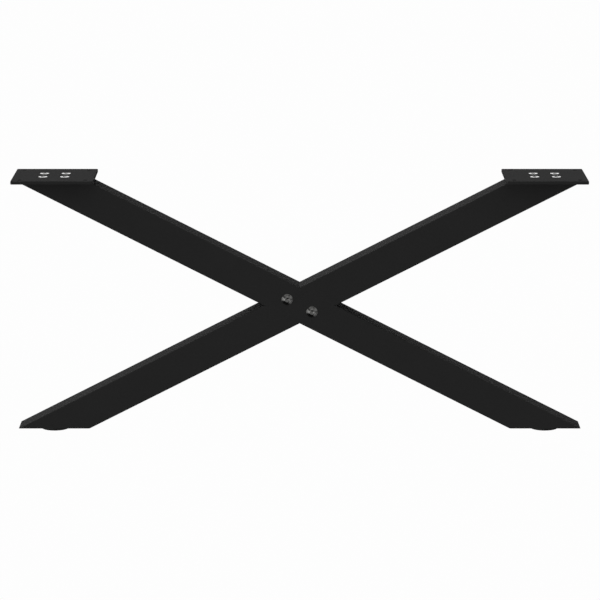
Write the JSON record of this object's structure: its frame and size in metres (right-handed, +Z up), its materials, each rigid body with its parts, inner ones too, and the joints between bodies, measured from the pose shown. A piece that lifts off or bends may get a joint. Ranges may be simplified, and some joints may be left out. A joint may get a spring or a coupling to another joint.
{
  "type": "x shaped table leg",
  "caption": "Low X shaped table leg: two square steel tubes half-lapped and screwed at the crossing, square plates for the table top above, flat glides below.",
  "frame": {"origin": "on the floor, under the middle of the leg", "axes": "+X along the width, +Y from the front to the back, +Z up; the joint screws are on the front, -Y"},
  "size_m": [0.7, 0.1, 0.3175],
  "materials": {
    "powder_coat": "black powder coat, fine texture, satin",
    "zinc": "zinc plated",
    "bare_steel": "turned, uncoated",
    "glide_plastic": "moulded, matte"
  },
  "bodies": {
    "root": {"front_tube": "powder_coat", "rear_tube": "powder_coat", "left_mounting_plate": "powder_coat", "left_foot_plate": "powder_coat", "left_nut_plate": "powder_coat", "right_mounting_plate": "powder_coat", "right_foot_plate": "powder_coat", "right_nut_plate": "powder_coat", "upper_joint_screw": "zinc", "lower_joint_screw": "zinc", "left_plate_screw_1": "zinc", "left_plate_screw_2": "zinc", "left_plate_screw_3": "zinc", "left_plate_screw_4": "zinc", "right_plate_screw_1": "zinc", "right_plate_screw_2": "zinc", "right_plate_screw_3": "zinc", "right_plate_screw_4": "zinc", "left_glide_screw": "zinc", "right_glide_screw": "zinc", "upper_standoff": "bare_steel", "lower_standoff": "bare_steel", "left_glide": "glide_plastic", "right_glide": "glide_plastic"}
  },
  "joints": []
}
